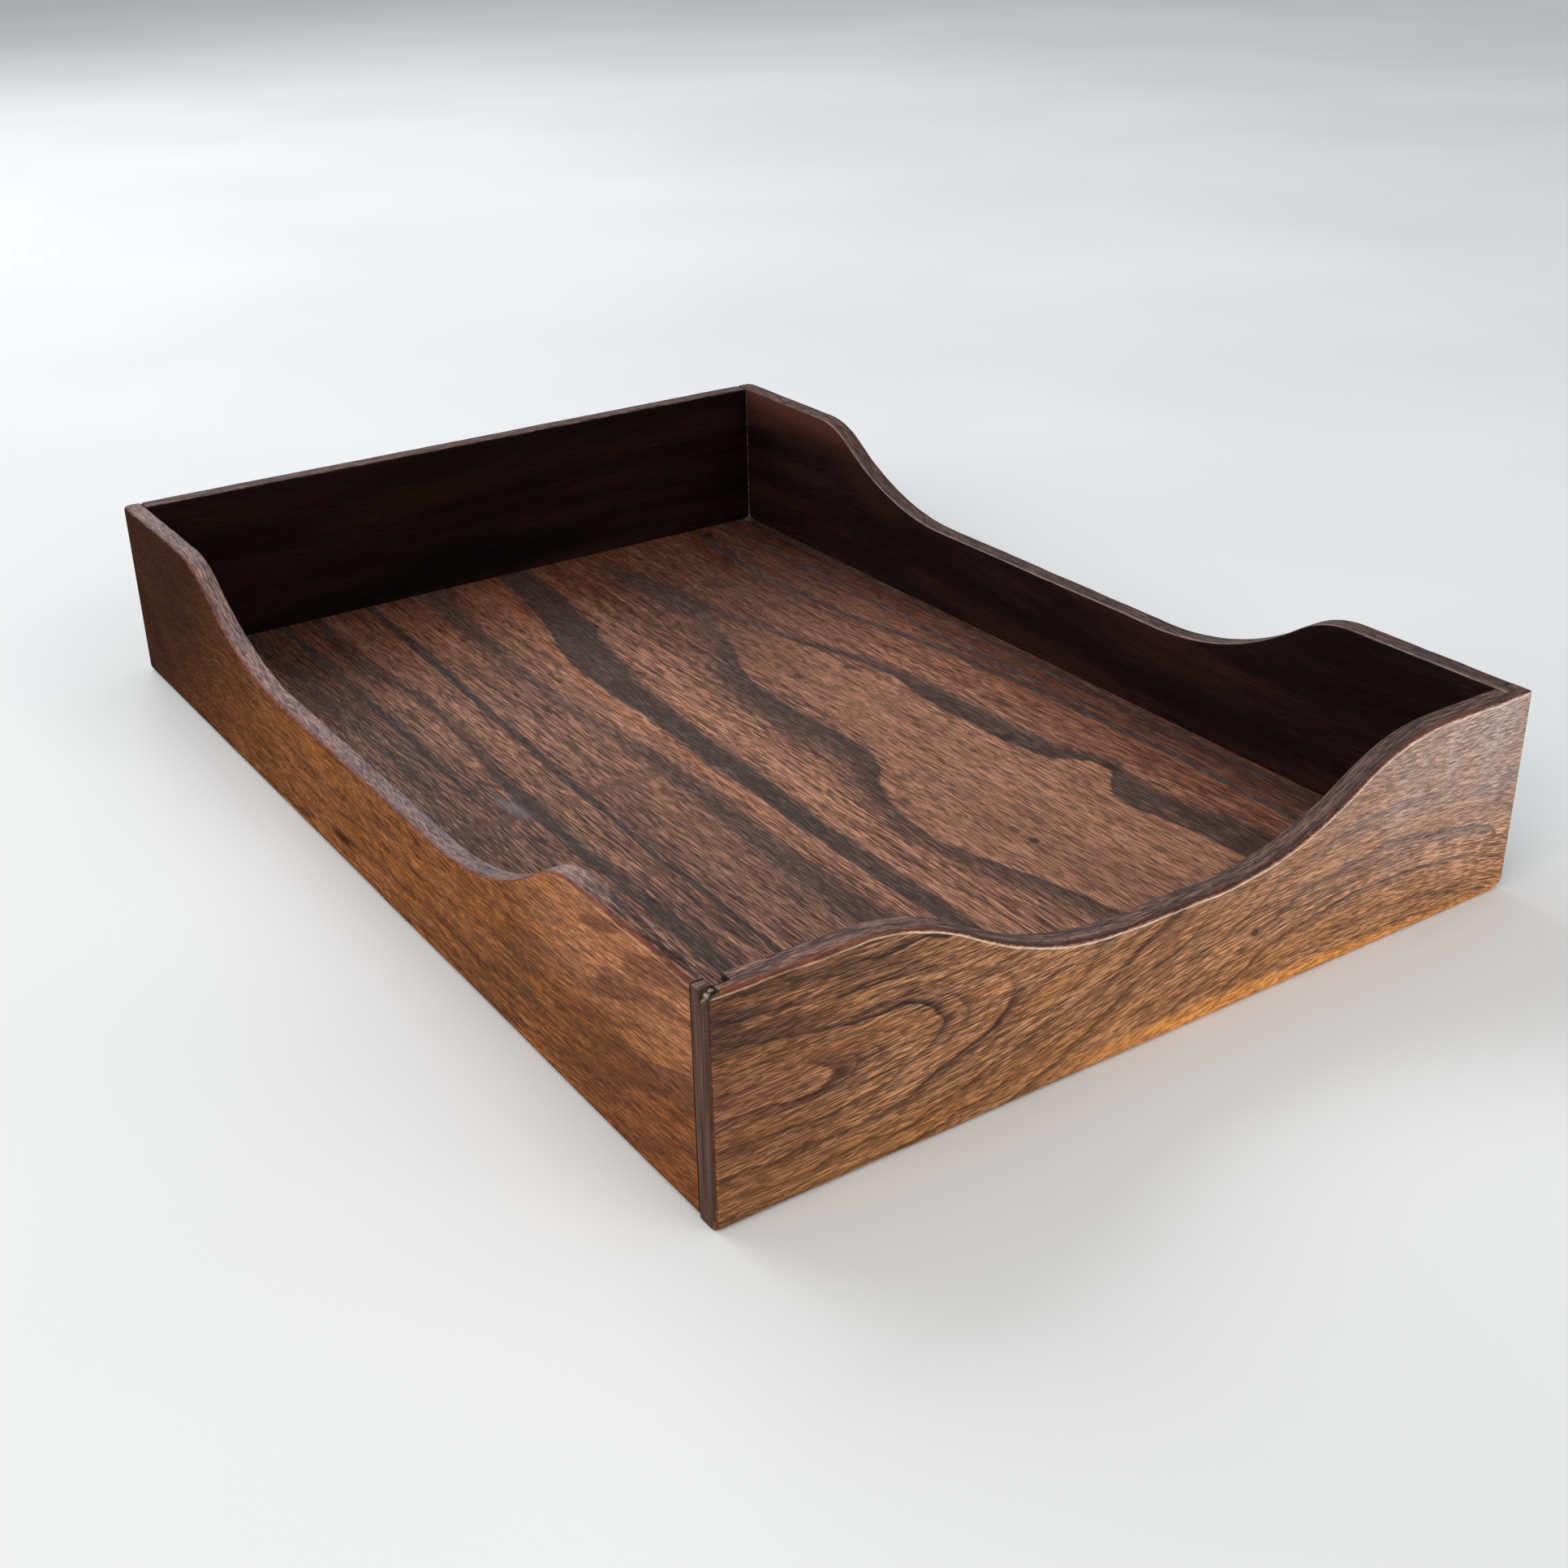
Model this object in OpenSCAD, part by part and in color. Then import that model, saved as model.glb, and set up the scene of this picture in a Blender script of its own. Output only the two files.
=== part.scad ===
// Letter tray: four walnut boards around a veneered floor, with the glue of its corner joints.
// Frame: +Z up, origin on the table under the middle of the tray, the dipped short board faces -Y.
// All sizes are in millimetres.

/* [Tray] */
// outside width, along the short boards
tray_w = 266; // [240:1:330]
// outside length, along the long boards
tray_l = 392; // [300:1:460]
// height of the boards where they are not dipped
tray_h = 62; // [50:1:90]
// thickness of the long side boards and of the back board
side_t = 6.6; // [5.5:0.1:9]
// thickness of the front board
front_t = 7.2; // [6.5:0.1:9]

/* [Side dips] */
// how far the dip sinks below the top of a long board
side_dip = 25.5; // [15:0.5:35]
// length left at full height at each end of a long board
side_flat = 59; // [40:1:90]
// radius of the rounded shoulder where the dip begins
side_shoulder_r = 34; // [15:1:60]
// radius of the hollow where the slope runs out into the flat bottom
side_hollow_r = 104; // [40:1:150]

/* [Front dip] */
// how far the dip sinks below the top of the front board
front_dip = 24.7; // [15:0.1:32]
// length left at full height at each end of the front board, if the dip is centred
front_flat = 35.5; // [20:0.5:48]
// radius of the rounded shoulder where the dip begins
front_shoulder_r = 62; // [30:1:100]
// radius of the hollow where the slope runs out into the flat bottom
front_hollow_r = 92; // [50:1:130]
// how far the hand-cut dip sits to the right of the middle
front_shift = 2.3; // [-5:0.1:5]

/* [All dips] */
// length of the straight slope between the shoulder and the hollow
slope_l = 4; // [1:0.5:12]

/* [Worn edges] */
// rounding of the two upright corners at the back
back_corner_r = 3.5; // [1:0.1:5]
// rounding of the two upright corners at the front
front_corner_r = 1.4; // [0.5:0.1:3]
// rounding of the outer bottom edge, all the way round
foot_r = 2; // [0.5:0.1:2.4]

/* [Floor] */
// height of the floor's top face above the table
floor_top = 5.9; // [5.5:0.1:9]
// thickness of the floor with both its veneer leaves
floor_t = 3.2; // [2.4:0.1:3.4]
// thickness of one veneer leaf
leaf_t = 0.6; // [0.3:0.1:0.9]

/* [Corner joints] */
// open gap beside the tongue in the loose left front joint
loose_gap = 1.3; // [0.3:0.1:2.5]
// how far down the chip in the left front corner reaches
chip_h = 3; // [1:0.1:6]
// length of the crack that runs down from the chip
crack_h = 21; // [4:1:40]
// depth at which the glue stops below the top of the open back left joint
glue_drop = 4; // [1:0.5:12]

/* [Hidden] */
$fn = 128;

walnut = [0.36, 0.22, 0.14];
walnut_dark = [0.27, 0.16, 0.11];
figured = [0.45, 0.27, 0.20];
plain_leaf = [0.50, 0.36, 0.25];
plywood = [0.72, 0.58, 0.42];
dried_glue = [0.82, 0.74, 0.58];

over = 1;                               // how far a cutting shape runs past what it cuts
nudge = 0.005;                          // how far an arc is pushed through the lines it joins
play = 0.1;                             // clearance of the floor in its grooves
film = 0.3;                             // thickness of a glue film
tight_gap = 0.2;                        // gap beside the tongue in the sound right front joint

tongue_t = side_t / 2;                  // the inner half of a side board is its tongue
lip_w = side_t - tongue_t;              // front board left outside the tongue's slot
slot_floor = 0.45 * front_t;            // front board left in front of the slot
tongue_l = front_t - slot_floor - film;

groove_d = side_t / 2;
floor_reach = groove_d - 3 * play;      // how far the floor enters its grooves
floor_base = floor_top - floor_t;
groove_base = floor_base - play;
groove_h = floor_t + 2 * play;
well_w = tray_w - 2 * side_t;
well_l = tray_l - front_t - side_t;
well_y = (front_t - side_t) / 2;        // the well's middle, off the tray's middle

bead_r = 1.1;                           // squeezed-out glue up the back right inside corner
blob_r = 3.2;                           // and where it ran out over the floor
blob_h = 0.7;
crack_w = 0.35;

// ---------- 2-D shapes ----------

// What lies between a corner and the arc that rounds it: the arc, about c, touches the
// corner's two sides at a and b. The nudge makes it cross them cleanly instead of grazing them.
module round_off(a, corner, b, c, r) {
    outward = (corner - c) / norm(corner - c);
    difference() {
        polygon([a, corner + over * outward, b]);
        translate(c + nudge * outward)
            circle(r);
    }
}

// Half of a dip, from its middle to its shoulder; the board's top edge is y = 0.
// A straight slope joins the hollow's arc to the shoulder's arc, and touches both.
module half_dip(depth, half_l, shoulder_r, hollow_r) {
    both_r = shoulder_r + hollow_r;
    slope = acos((both_r - depth) / norm([both_r, slope_l])) - atan(slope_l / both_r);
    along = [cos(slope), sin(slope)];
    foot = [half_l - both_r * along.y - slope_l * along.x, -depth];
    hollow = foot + [hollow_r * tan(slope / 2), 0];
    shoulder = [half_l - shoulder_r * tan(slope / 2), 0];
    difference() {
        polygon([[-over, over], [-over, -depth], hollow, shoulder, shoulder + over * along / along.y]);
        round_off(foot, hollow, hollow + (hollow.x - foot.x) * along, foot + [0, hollow_r], hollow_r);
    }
    round_off(shoulder - (half_l - shoulder.x) * along, shoulder, [half_l, 0],
              [half_l, -shoulder_r], shoulder_r);
}

// A board seen from outside, standing on y = 0 and centred on x = 0.
module dipped_face(length, depth, flat, shoulder_r, hollow_r, shift) {
    difference() {
        translate([-length / 2, 0])
            square([length, tray_h]);
        for (turn = [0, 1])
            translate([shift, tray_h])
                mirror([turn, 0])
                    half_dip(depth, length / 2 - flat, shoulder_r, hollow_r);
    }
}

// What a rounded corner removes from a square one at the origin.
module corner_waste(r) {
    difference() {
        translate([-over, -over])
            square(r + over);
        translate([r, r])
            circle(r);
    }
}

// The tray seen from above.
module tray_plan() {
    difference() {
        translate([-tray_w / 2, -tray_l / 2])
            square([tray_w, tray_l]);
        for (turn = [0, 1])
            mirror([turn, 0]) {
                translate([-tray_w / 2, -tray_l / 2])
                    corner_waste(front_corner_r);
                translate([-tray_w / 2, tray_l / 2])
                    mirror([0, 1])
                        corner_waste(back_corner_r);
            }
    }
}

// ---------- board building ----------

// Stands a board up: length along X, outer face on y = 0, inner face on y = t.
module stand_board(t) {
    translate([0, t, 0])
        rotate([90, 0, 0])
            linear_extrude(t)
                children();
}

// The rounded outer bottom edge, as the waste to take off a standing board.
module foot_waste(length) {
    translate([-length / 2 - over, 0, 0])
        rotate([90, 0, 90])
            linear_extrude(length + 2 * over)
                corner_waste(foot_r);
}

// The groove for the floor, in a standing board of thickness t.
module floor_groove(length, t) {
    translate([-length / 2, t - groove_d, groove_base])
        cube([length, groove_d + over, groove_h]);
}

// Keeps what lies inside the tray's rounded plan.
module inside_plan() {
    intersection() {
        children();
        translate([0, 0, -over])
            linear_extrude(tray_h + 2 * over)
                tray_plan();
    }
}

// A slot for a side board's tongue, near the left end of the front board.
module tongue_slot(gap) {
    translate([-tray_w / 2 + lip_w, slot_floor, -over])
        cube([tongue_t + gap, front_t, tray_h + 2 * over]);
}

// The chip in the left front corner, and the crack that runs down from it.
module corner_damage() {
    translate([-tray_w / 2 - over, 0, 0]) {
        rotate([90, 0, 90])
            linear_extrude(lip_w + over + film)
                polygon([[0, tray_h + over],
                         [0, tray_h - chip_h / 4],
                         [slot_floor - crack_w, tray_h - chip_h],
                         [slot_floor + film, tray_h - chip_h],
                         [slot_floor + film * 3, tray_h + over]]);
        translate([0, slot_floor - crack_w, tray_h - chip_h - crack_h])
            cube([lip_w + over + film, crack_w, crack_h + over]);
    }
}

// ---------- boards ----------

module front_panel() {
    color(walnut)
        inside_plan()
            translate([0, -tray_l / 2, 0])
                difference() {
                    stand_board(front_t)
                        dipped_face(tray_w, front_dip, front_flat,
                                    front_shoulder_r, front_hollow_r, front_shift);
                    foot_waste(tray_w);
                    floor_groove(well_w, front_t);
                    tongue_slot(loose_gap);
                    mirror([1, 0, 0])
                        tongue_slot(tight_gap);
                    corner_damage();
                }
}

module back_panel() {
    color(walnut_dark)
        translate([0, tray_l / 2, 0])
            rotate([0, 0, 180])
                difference() {
                    stand_board(side_t)
                        translate([-well_w / 2 + film, 0])
                            square([well_w - 2 * film, tray_h]);
                    foot_waste(well_w);
                    floor_groove(well_w, side_t);
                }
}

// The left side board; the right one is its mirror image.
module side_board() {
    board_l = tray_l - front_t;
    inside_plan()
        translate([-tray_w / 2, 0, 0])
            rotate([0, 0, -90])
                difference() {
                    union() {
                        intersection() {
                            stand_board(side_t)
                                dipped_face(tray_l, side_dip, side_flat,
                                            side_shoulder_r, side_hollow_r, 0);
                            translate([-tray_l / 2, -over, -over])
                                cube([board_l, side_t + 2 * over, tray_h + 2 * over]);
                        }
                        translate([tray_l / 2 - front_t - over, side_t - tongue_t, 0])
                            cube([tongue_l + over, tongue_t, tray_h]);
                    }
                    foot_waste(tray_l);
                    translate([front_t / 2, 0, 0])
                        floor_groove(tray_l - front_t, side_t);
                }
}

module left_side() {
    color(walnut)
        side_board();
}

module right_side() {
    color(walnut)
        mirror([1, 0, 0])
            side_board();
}

// ---------- floor ----------

// One layer of the floor, held in the grooves on all four sides.
module floor_layer(base, thickness) {
    floor_w = well_w + 2 * floor_reach;
    floor_l = well_l + 2 * floor_reach;
    translate([-floor_w / 2, well_y - floor_l / 2, base])
        cube([floor_w, floor_l, thickness]);
}

module floor_core() {
    color(plywood)
        floor_layer(floor_base + leaf_t, floor_t - 2 * leaf_t);
}

module floor_face_veneer() {
    color(figured)
        floor_layer(floor_top - leaf_t, leaf_t);
}

module floor_back_veneer() {
    color(plain_leaf)
        floor_layer(floor_base, leaf_t);
}

// ---------- glue ----------

// The film between a tongue's end and the floor of its slot, above the tray's own floor.
module tongue_film(top) {
    translate([-tray_w / 2 + lip_w, -tray_l / 2 + slot_floor, floor_top + play])
        cube([tongue_t, film, top - floor_top - play]);
}

module front_left_glue() {
    color(dried_glue) {
        tongue_film(tray_h - chip_h / 4);
        translate([-tray_w / 2 + lip_w / 3, -tray_l / 2 + slot_floor - crack_w, tray_h - chip_h])
            cube([lip_w * 2 / 3, crack_w + film, chip_h / 2]);
    }
}

module front_right_glue() {
    color(dried_glue)
        mirror([1, 0, 0])
            tongue_film(tray_h - film);
}

// The film between the left end of the back board and the side board, above the tray's own floor.
module back_film(top) {
    translate([-well_w / 2, tray_l / 2 - side_t, floor_top + play])
        cube([film, side_t, top - floor_top - play]);
}

module back_left_glue() {
    color(dried_glue)
        back_film(tray_h - glue_drop);
}

module back_right_glue() {
    color(dried_glue) {
        mirror([1, 0, 0])
            back_film(tray_h - film);
        translate([well_w / 2, tray_l / 2 - side_t, floor_top])
            intersection() {
                union() {
                    cylinder(h = tray_h - floor_top - 4 * film, r = bead_r);
                    scale([1, 1, blob_h / blob_r])
                        sphere(blob_r);
                }
                translate([-2 * blob_r, -2 * blob_r, 0])
                    cube([2 * blob_r, 2 * blob_r, tray_h]);
            }
    }
}

front_panel();
back_panel();
left_side();
right_side();
floor_core();
floor_face_veneer();
floor_back_veneer();
front_left_glue();
front_right_glue();
back_left_glue();
back_right_glue();
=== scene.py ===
"""Letter tray: the boards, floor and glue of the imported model, with worn edges and figured walnut.

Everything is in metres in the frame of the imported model: +Z up, the dipped short board faces -Y.
Lengths written as numbers are in millimetres and multiplied by MM; shader fields also count in millimetres.
"""

import math
from typing import NamedTuple

import bpy
import numpy as np
from mathutils import Matrix, Vector


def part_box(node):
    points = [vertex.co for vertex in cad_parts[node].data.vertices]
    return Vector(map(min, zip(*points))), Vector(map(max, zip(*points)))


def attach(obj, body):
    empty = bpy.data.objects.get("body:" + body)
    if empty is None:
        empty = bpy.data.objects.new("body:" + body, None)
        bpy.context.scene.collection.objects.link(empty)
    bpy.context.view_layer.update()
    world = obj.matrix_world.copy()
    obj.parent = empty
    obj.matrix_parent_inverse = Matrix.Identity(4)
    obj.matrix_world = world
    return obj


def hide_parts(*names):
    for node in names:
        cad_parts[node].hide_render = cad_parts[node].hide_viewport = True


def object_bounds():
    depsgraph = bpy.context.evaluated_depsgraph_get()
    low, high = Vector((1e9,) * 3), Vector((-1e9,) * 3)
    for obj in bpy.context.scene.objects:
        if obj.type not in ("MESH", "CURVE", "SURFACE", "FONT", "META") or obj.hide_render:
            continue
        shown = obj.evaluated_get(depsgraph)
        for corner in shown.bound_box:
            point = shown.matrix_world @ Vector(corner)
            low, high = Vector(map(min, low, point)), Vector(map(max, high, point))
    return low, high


MM = 0.001

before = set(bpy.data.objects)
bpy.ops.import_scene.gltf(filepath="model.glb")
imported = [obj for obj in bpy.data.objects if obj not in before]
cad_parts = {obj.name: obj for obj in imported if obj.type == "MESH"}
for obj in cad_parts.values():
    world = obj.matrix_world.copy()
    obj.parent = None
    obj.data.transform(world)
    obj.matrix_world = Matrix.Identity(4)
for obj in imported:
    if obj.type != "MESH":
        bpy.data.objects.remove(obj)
cad_low, cad_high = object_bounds()

# ---------- sizes read from the frame ----------

front_low, front_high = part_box("front_panel")
back_low, back_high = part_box("back_panel")
side_low, side_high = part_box("left_side")
leaf_low, leaf_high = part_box("floor_face_veneer")
base_low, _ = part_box("floor_back_veneer")

LENGTH = cad_high.y - cad_low.y
WIDTH = cad_high.x - cad_low.x
HEIGHT = cad_high.z - cad_low.z
FRONT_T = front_high.y - front_low.y
SIDE_T = side_high.x - side_low.x
BACK_W = back_high.x - back_low.x
WELL_W = WIDTH - 2 * SIDE_T
FLOOR_TOP = leaf_high.z
FLOOR_BASE = base_low.z
SLOT_FLOOR = 0.45 * FRONT_T
LIP_W = SIDE_T / 2
TONGUE_T = SIDE_T - LIP_W

# ---------- sizes the frame's boxes do not give ----------

FOOT_R = 2.0 * MM
ARRIS_R = 0.75 * MM
INNER_ARRIS_R = 0.6 * MM
BACK_CORNER_R = 3.5 * MM
FRONT_CORNER_R = 1.0 * MM
SQUARE_R = 0.0005 * MM  # a corner that stays square
FOOT_CORNER_R = 4.0 * MM
SOFT_R = 0.35 * MM
RIM_W = 0.42 * MM
LOOSE_GAP = 1.3 * MM
TIGHT_GAP = 0.35 * MM
JOINT_GAP = 0.1 * MM
GROOVE_PLAY = 0.1 * MM
CHIP_H = 3.0 * MM
CRACK_H = 21.0 * MM
CRACK_W = 0.3 * MM
BEAD_R = 0.32 * MM
BEAD_SWELL = 0.4 * MM  # how much thicker the bead is near its top
BEAD_TIP = 0.8 * MM
BLOB_R = 4.0 * MM
BLOB_FADE = 0.45 * MM  # the rise in which the blob thins down to a third
STATION_STEP = 1.6 * MM

SIDE_OUTLINE = dict(dip=25.5 * MM, flat=59 * MM, shoulder_r=34 * MM, hollow_r=104 * MM, slope_l=4 * MM)
FRONT_OUTLINE = dict(dip=24.7 * MM, flat=35.5 * MM, shoulder_r=62 * MM, hollow_r=92 * MM, slope_l=4 * MM)
FRONT_SHIFT = 2.3 * MM


# ---------- mesh helpers ----------


def dipped_height(s, length, dip, flat, shoulder_r, hollow_r, slope_l):
    """Height of a dipped board's top edge at the places s along it, measured from its middle."""
    half = length / 2 - flat
    both_r = shoulder_r + hollow_r
    slope = math.acos((both_r - dip) / math.hypot(both_r, slope_l)) - math.atan(slope_l / both_r)
    foot = half - both_r * math.sin(slope) - slope_l * math.cos(slope)
    hollow_end = foot + hollow_r * math.sin(slope)
    shoulder_start = half - shoulder_r * math.sin(slope)
    x = np.abs(s)
    in_hollow = hollow_r - np.sqrt(hollow_r**2 - np.clip(x - foot, 0, hollow_r) ** 2) - dip
    at_hollow_end = hollow_r * (1 - math.cos(slope)) - dip
    on_slope = at_hollow_end + (x - hollow_end) * math.tan(slope)
    on_shoulder = np.sqrt(shoulder_r**2 - np.clip(half - x, 0, shoulder_r) ** 2) - shoulder_r
    drop = np.where(x < hollow_end, in_hollow, np.where(x < shoulder_start, on_slope, on_shoulder))
    return HEIGHT + drop


def wander(s, reach, rng, strength=1.0):
    """A smooth random line through the places s: it turns about once every reach, within +-strength."""
    knots = np.arange(s.min() - 2 * reach, s.max() + 2 * reach, reach)
    heights = rng.uniform(-strength, strength, len(knots))
    share = (s - knots[0]) / reach
    index = share.astype(int)
    t = share - index
    t = t * t * (3 - 2 * t)
    return heights[index] * (1 - t) + heights[index + 1] * t


def rounding(s, start_r, end_r):
    """How far rounded corners at both ends of the places s stand back from square ones."""
    back = np.zeros_like(s)
    for distance, radius in ((s - s[0], start_r), (s[-1] - s, end_r)):
        inside = np.clip(radius - distance, 0, radius)
        back += radius - np.sqrt(radius**2 - inside**2)
    return back


def quarter(centre_t, centre_z, radius, start_degrees, steps):
    """Points of a quarter turn, clockwise, for every station: two arrays, stations by points."""
    angle = np.radians(start_degrees - 90 * np.arange(steps + 1) / steps)
    t = np.asarray(centre_t)[:, None] + radius[:, None] * np.cos(angle)
    z = np.asarray(centre_z)[:, None] + radius[:, None] * np.sin(angle)
    return t, z


def between(a, b, shares):
    """Points between the lines a and b at the given shares of the way, for every station."""
    return a[:, None] + (b - a)[:, None] * np.asarray(shares)


def new_object(name, data):
    made = bpy.data.objects.new(name, data)
    bpy.context.scene.collection.objects.link(made)
    return made


def mesh_object(name, points, faces, materials):
    mesh = bpy.data.meshes.new(name)
    mesh.from_pydata([tuple(p) for p in points], [], faces)
    mesh.validate()
    for material in materials:
        mesh.materials.append(material)
    return new_object(name, mesh)


def loft(name, sections, *materials):
    """A closed skin over rings of points: sections is an array, stations by points by 3."""
    stations, around = sections.shape[:2]
    faces = []
    for first in range(0, (stations - 1) * around, around):
        for j in range(around):
            k = (j + 1) % around
            faces.append((first + j, first + k, first + around + k, first + around + j))
    faces.append(tuple(reversed(range(around))))
    faces.append(tuple(range((stations - 1) * around, stations * around)))
    made = mesh_object(name, sections.reshape(-1, 3), faces, materials)
    turn_outward(made)
    return made


def turn_outward(piece):
    """Turns the faces of a closed mesh outward, by the sign of its volume."""
    mesh = piece.data
    mesh.calc_loop_triangles()
    corners = np.array([v.co[:] for v in mesh.vertices])
    triangles = np.array([t.vertices[:] for t in mesh.loop_triangles])
    a, b, c = corners[triangles.T]
    if (a * np.cross(b, c)).sum() < 0:
        mesh.flip_normals()


def box_cutter(corner, opposite):
    """A box between two opposite corners, which cuts faces of sawn wood."""
    x0, y0, z0 = corner
    x1, y1, z1 = opposite
    ends = [[(x, y0, z0), (x, y1, z0), (x, y1, z1), (x, y0, z1)] for x in sorted((x0, x1))]
    return loft("cutter", np.array(ends), sawn)


def cut(piece, cutters):
    """Takes the cutters away from the piece; the cut faces keep the cutters' material."""
    for cutter in cutters:
        step = piece.modifiers.new("cut", "BOOLEAN")
        step.operation = "DIFFERENCE"
        step.solver = "EXACT"
        step.material_mode = "TRANSFER"
        step.object = cutter
    bpy.context.view_layer.update()
    evaluated = piece.evaluated_get(bpy.context.evaluated_depsgraph_get())
    mesh = bpy.data.meshes.new_from_object(evaluated)
    piece.modifiers.clear()
    old, piece.data = piece.data, mesh
    bpy.data.meshes.remove(old)
    for cutter in cutters:
        bpy.data.objects.remove(cutter)


def settle(piece, node=None, sharp_degrees=35):
    """The last steps of a piece: smooth shading, a place on the tray, and hiding the CAD node it stands
    for.
    """
    piece.data.shade_smooth()
    piece.data.set_sharp_from_angle(angle=math.radians(sharp_degrees))
    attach(piece, "root")
    if node:
        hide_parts(node)


# ---------- a lofted board ----------

# The map round a board's section, kept in the UV map "girth": whole numbers are where its
# stretches meet, so that a material knows the outer face, the arrises and the top apart.
FOOT, OUTER, OUTER_ARRIS, TOP, INNER_ARRIS, INNER, SILL, BOTTOM = range(8)
END_FACE = OUTER + 0.5
RIM_SHARE = 0.9
FACE_ROWS = 9
ARC_STEPS = 5


def stations_along(length, end_r):
    """Places along a board, close together where its ends are rounded."""
    turn = end_r * (1 - np.cos(np.linspace(0, math.pi / 2, ARC_STEPS + 2)))
    start = -length / 2
    count = int((length - 2 * end_r) / STATION_STEP)
    middle = np.linspace(start + end_r, -start - end_r, count)
    return np.concatenate([start + turn[:-1], middle, -start - turn[:-1][::-1]])


def board(name, length, thickness, height, place, start_r, end_r, seed, materials, shift=0.0, wear=1.0,
          foot_corner_r=SOFT_R):
    """A board with rounded, unevenly worn edges. height is a function of the place along it, place
    turns (along, depth, up) into the frame, and start_r and end_r round its two upright outer corners.
    foot_corner_r is how far the bottom corner at its end is worn round."""
    rng = np.random.default_rng(seed)
    corner_r = max(start_r, end_r, foot_corner_r)
    s = stations_along(length, corner_r)
    top = height(s - shift) + wander(s, 14 * MM, rng, 0.06 * MM)
    full_t = np.full_like(s, thickness)
    outer_r = ARRIS_R * (1 + wear * (0.25 * wander(s, 9 * MM, rng) + 0.2 * wander(s, 3 * MM, rng)))
    inner_r = INNER_ARRIS_R * (1 + 0.3 * wander(s, 11 * MM, rng))
    foot_r = FOOT_R * (1 + 0.12 * wander(s, 16 * MM, rng))
    sill_r = np.full_like(s, SOFT_R)
    zero = np.zeros_like(s)

    face_shares = np.linspace(0, 1, FACE_ROWS + 1)[1:]
    rim = top - outer_r - RIM_W
    pieces = [
        quarter(foot_r, foot_r, foot_r, 270, ARC_STEPS),
        (np.zeros((len(s), FACE_ROWS)), between(foot_r, rim, face_shares)),
        quarter(outer_r, top - outer_r, outer_r, 180, ARC_STEPS),
        (between(outer_r, full_t - inner_r, [0.25, 0.5, 0.75]), between(top, top, [0, 0, 0])),
        quarter(full_t - inner_r, top - inner_r, inner_r, 90, ARC_STEPS - 1),
        (np.full((len(s), FACE_ROWS), thickness), between(top - inner_r, sill_r, face_shares)),
        quarter(full_t - sill_r, sill_r, sill_r, 0, 2),
        (between(full_t - sill_r, foot_r, [0.33, 0.67]), between(zero, zero, [0, 0])),
    ]
    t = np.concatenate([p[0] for p in pieces], axis=1)
    z = np.concatenate([p[1] for p in pieces], axis=1)
    girth = np.concatenate([
        FOOT + np.linspace(0, 1, ARC_STEPS + 1),
        OUTER + RIM_SHARE * face_shares,
        OUTER_ARRIS + np.linspace(0, 1, ARC_STEPS + 1),
        TOP + np.array([0.25, 0.5, 0.75]),
        INNER_ARRIS + np.linspace(0, 1, ARC_STEPS),
        INNER + face_shares,
        SILL + np.linspace(0, 1, 3),
        BOTTOM + np.array([0.33, 0.67]),
    ])

    outer_back = rounding(s, start_r, end_r)
    inner_back = rounding(s, SOFT_R, SOFT_R)
    top_drop = rounding(s, 2 * SOFT_R, 2 * SOFT_R)
    foot_lift = rounding(s, SOFT_R, foot_corner_r)
    t = outer_back[:, None] + t * ((thickness - outer_back - inner_back) / thickness)[:, None]
    z = foot_lift[:, None] + z * ((top - top_drop - foot_lift) / top)[:, None]

    along = np.repeat(s[:, None], t.shape[1], axis=1)
    made = loft(name, np.stack(place(along, t, z), axis=-1), *materials)
    write_girth(made, s, girth)
    return made


def write_girth(piece, s, girth):
    """Keeps the place round the section, and along the board, as the UV map "girth"."""
    around = len(girth)
    layer = piece.data.uv_layers.new(name="girth")
    for face in piece.data.polygons:
        columns = [v % around for v in face.vertices]
        wraps = 0 in columns and around - 1 in columns
        for loop, v, column in zip(face.loop_indices, face.vertices, columns):
            value = BOTTOM + 1 if wraps and column == 0 else girth[column]
            if len(columns) == around:
                value = END_FACE
            layer.data[loop].uv = (s[v // around] / MM, value)


# ---------- shader helpers ----------


def rgb(red, green, blue):
    """A colour given as it looks on a screen, 0 to 255, as the linear colour that shaders use."""
    shares = [c / 255 for c in (red, green, blue)]
    return tuple(c / 12.92 if c <= 0.04045 else ((c + 0.055) / 1.055) ** 2.4 for c in shares) + (1.0,)


class Field:
    """A shader value that can be added, multiplied and so on, like a number."""

    def __init__(self, graph, socket):
        self.graph = graph
        self.socket = socket

    def __add__(self, other):
        return self.graph.math("ADD", self, other)

    def __sub__(self, other):
        return self.graph.math("SUBTRACT", self, other)

    def __rsub__(self, other):
        return self.graph.math("SUBTRACT", other, self)

    def __mul__(self, other):
        return self.graph.math("MULTIPLY", self, other)

    def __truediv__(self, other):
        return self.graph.math("DIVIDE", self, other)

    __radd__ = __add__
    __rmul__ = __mul__


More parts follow.
